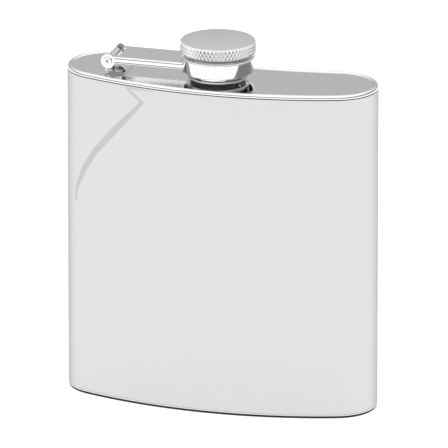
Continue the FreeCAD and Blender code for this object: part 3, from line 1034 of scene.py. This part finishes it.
class FLASK_OT_knob(Operator):
    """Model the knob's cover with its diamond knurl"""

    bl_idname = "flask.knob"
    bl_label = "Knurled knob"

    def execute(self, context):
        piece = self.turn_cover()
        combine(piece, self.model_knurl(), "INTERSECT")
        complete(piece, "knob_shell", material(satin_knob_finish, "Satin knob steel"), 12)
        return {"FINISHED"}

    def turn_cover(self):
        """Turns the cover: a shallow cup, upside down, with a domed top."""
        sizes = cap_sizes()
        low, high = KNOB_LOW.z, KNOB_HIGH.z
        outer, inner = sizes.knob_radius, sizes.knob_radius - sizes.knob_wall
        flat = outer - sizes.knob_round
        edge_z = high - sizes.knob_dome
        dome_radius = (flat ** 2 + sizes.knob_dome ** 2) / (2 * sizes.knob_dome)
        dome_turn = 90 - math.degrees(math.asin(flat / dome_radius))
        corners = round_corner(0, high - dome_radius, dome_radius, 90, dome_turn, 16)
        corners += round_corner(flat, edge_z - sizes.knob_round, sizes.knob_round, 90, 0, 9)[1:]
        corners += [(outer, low), (inner, low)]
        corners += [(inner, high - sizes.knob_wall), (0, high - sizes.knob_wall)]
        return turn_section("flask_knob_shell", corners, 192)

    def model_knurl(self):
        """A drum whose band is covered in four-sided points, taller than the cover."""
        sizes = cap_sizes()
        low, spare = KNOB_LOW.z, 2 * MM
        rows, columns = 3, 2 * sizes.knurl_columns
        heights = [low + sizes.knurl_tall * row / rows for row in range(rows + 1)]
        points = sizes.knob_radius + sizes.knurl_flat
        bottom, top = low - spare, KNOB_HIGH.z + spare
        bpy.ops.mesh.primitive_cylinder_add(
            vertices=columns, radius=points, depth=top - bottom, end_fill_type="NGON",
            location=(NECK.x, NECK.y, (bottom + top) / 2),
        )
        drum = name_new("knurl_tool")
        place_in_mesh(drum)
        edit_mode()
        for height in heights:
            bpy.ops.mesh.select_all(action="SELECT")
            bpy.ops.mesh.bisect(plane_co=(0, 0, height), plane_no=(0, 0, 1))
        object_mode()
        deselect(drum)
        for vertex in drum.data.vertices:
            away = vertex.co - Vector((NECK.x, NECK.y, 0))
            column = round(math.atan2(away.y, away.x) / (2 * math.pi) * columns)
            row = next((i for i, z in enumerate(heights) if near(vertex.co.z, z)), None)
            vertex.select = row is not None and (row + column) % 2 == 1
        edit_mode()
        share = (sizes.knob_radius - sizes.knurl_depth) / points
        bpy.ops.transform.resize(value=(share, share, 1), center_override=(NECK.x, NECK.y, 0))
        select_faces(drum, lambda centre, normal: low < centre.z < heights[-1])
        bpy.ops.mesh.quads_convert_to_tris(quad_method="SHORTEST_DIAGONAL")
        object_mode()
        return drum


class FLASK_OT_stage(Operator):
    """Set the floor, the soft light and the camera"""

    bl_idname = "flask.stage"
    bl_label = "Stage"

    def execute(self, context):
        self.lay_floor()
        self.light_room(context.scene)
        self.place_camera(context.scene)
        return {"FINISHED"}

    def lay_floor(self):
        """A large light table, which leaves no shadow."""
        bpy.ops.mesh.primitive_plane_add(size=8, location=(0, 0, 0))
        floor = name_new("stage_floor")
        white = (1, 1, 1, 1)
        finish = Finish("Light table", Roughness=0.9, Emission_Color=white, Emission_Strength=0.95)
        finish.drive(Base_Color=shade(finishes().floor))
        floor.data.materials.append(finish.material)

    def light_room(self, scene):
        """A room that is bright above, grey behind, and dark low in front and to the right."""
        world = bpy.data.worlds.new("Soft room")
        scene.world = world
        world.use_nodes = True
        room = NodeMaker(world.node_tree)
        direction = room.node("ShaderNodeTexCoord", output="Generated")
        across, along, up = room.axes(direction)
        behind = room.ramp(up, [(0.0, 0.38), (0.30, 0.42), (0.50, 0.68), (0.80, 1.0)])
        ahead = room.ramp(up, [(0.0, 0.10), (0.28, 0.16), (0.50, 0.95), (0.90, 1.0)])
        beside = room.ramp(up, [(0.0, 0.16), (0.40, 0.22), (0.70, 0.95)])
        level = room.blend(room.fade(along, -0.25, 0.35), ahead, behind)
        level = room.blend(room.fade(across, 0.35, 0.75), level, beside)
        background = world.node_tree.nodes["Background"]
        room.feed(background.inputs["Color"], level)
        background.inputs["Strength"].default_value = 1.25
        bpy.ops.object.light_add(type="AREA", location=(0, 0.2, 2.0))
        lamp = bpy.context.object
        lamp.name = "stage_softbox"
        lamp.data.shape = "SQUARE"
        lamp.data.size = 3.0
        lamp.data.energy = 25
        lamp.visible_glossy = False

    def place_camera(self, scene):
        """A long lens from a little above, turned to the flask's right."""
        azimuth, elevation = math.radians(16.85), math.radians(18.3)
        distance = 3.5
        target = Vector((0.4 * MM, 2.9 * MM, 51.6 * MM))
        back = Vector((
            math.sin(azimuth) * math.cos(elevation),
            -math.cos(azimuth) * math.cos(elevation),
            math.sin(elevation),
        ))
        bpy.ops.object.camera_add(location=target + back * distance)
        camera = bpy.context.object
        camera.name = "stage_camera"
        camera.rotation_mode = "QUATERNION"
        camera.rotation_quaternion = (-back).to_track_quat("-Z", "Y")
        camera.data.lens = 979
        camera.data.sensor_width = 36
        camera.data.clip_start = 0.1
        camera.data.clip_end = 20
        scene.camera = camera
        scene.view_settings.view_transform = "Standard"


OPERATORS = (
    FLASK_OT_body_shell,
    FLASK_OT_top_plate,
    FLASK_OT_bottom_plate,
    FLASK_OT_neck_spout,
    FLASK_OT_hinge,
    FLASK_OT_cap_arm,
    FLASK_OT_cap_collar,
    FLASK_OT_cap_skirt,
    FLASK_OT_cap_inside,
    FLASK_OT_knob,
    FLASK_OT_stage,
)


class FLASK_PT_panel(Panel):
    """The flask's sizes, colours and operators"""

    bl_label = "Hip flask"
    bl_space_type = "VIEW_3D"
    bl_region_type = "UI"
    bl_category = "Flask"

    def draw(self, context):
        layout = self.layout
        for group in ("flask_body_sizes", "flask_cap_sizes", "flask_finishes"):
            settings = getattr(context.scene, group)
            box = layout.box()
            for name in settings.__annotations__:
                box.prop(settings, name)
        for operator in OPERATORS:
            layout.operator(operator.bl_idname)


CLASSES = (FlaskBodySizes, FlaskCapSizes, FlaskFinishes, *OPERATORS, FLASK_PT_panel)


def register():
    """Registers the classes and hangs the settings on the scene."""
    for item in CLASSES:
        bpy.utils.register_class(item)
    bpy.types.Scene.flask_body_sizes = PointerProperty(type=FlaskBodySizes)
    bpy.types.Scene.flask_cap_sizes = PointerProperty(type=FlaskCapSizes)
    bpy.types.Scene.flask_finishes = PointerProperty(type=FlaskFinishes)


def unregister():
    """Takes the settings and the classes away again."""
    del bpy.types.Scene.flask_finishes
    del bpy.types.Scene.flask_cap_sizes
    del bpy.types.Scene.flask_body_sizes
    for item in reversed(CLASSES):
        bpy.utils.unregister_class(item)


def main():
    """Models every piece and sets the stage."""
    register()
    for operator in OPERATORS:
        group, name = operator.bl_idname.split(".")
        getattr(getattr(bpy.ops, group), name)()


if __name__ == "__main__":
    main()
